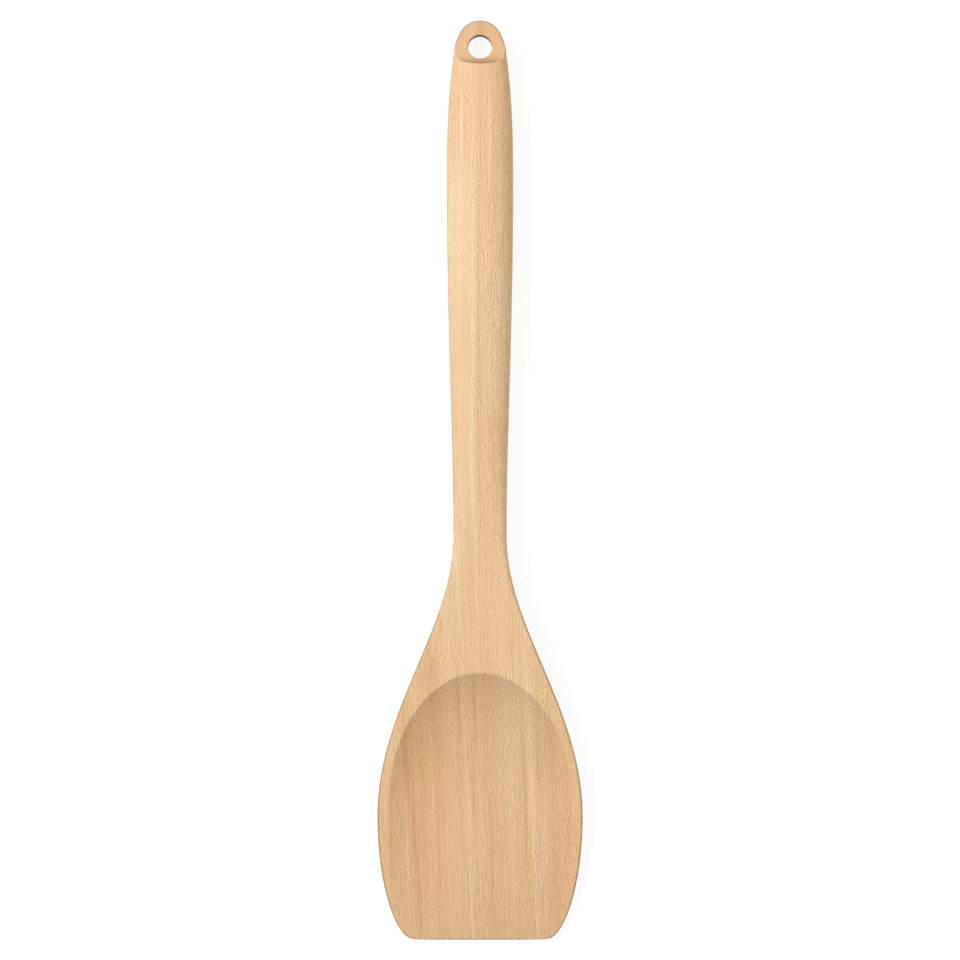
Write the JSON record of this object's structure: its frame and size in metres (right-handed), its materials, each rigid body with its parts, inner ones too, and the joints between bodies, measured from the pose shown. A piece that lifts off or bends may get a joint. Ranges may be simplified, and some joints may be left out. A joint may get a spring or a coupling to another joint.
{
  "type": "wooden spatula",
  "caption": "Solid beech kitchen spatula with a straight scraping tip, a shallow scooped blade, a slim neck and an oval handle that ends in a flat hanging facet with a hole.",
  "frame": {"origin": "middle of the length and of the width, on the table that the back lies on", "axes": "+Y from the scraping tip to the hanging end, +Z out of the front face with the scoop, +X across"},
  "size_m": [0.0692, 0.31, 0.015],
  "materials": {
    "beech": "sanded, unvarnished"
  },
  "bodies": {
    "root": {"spatula_body": "beech"}
  },
  "joints": []
}
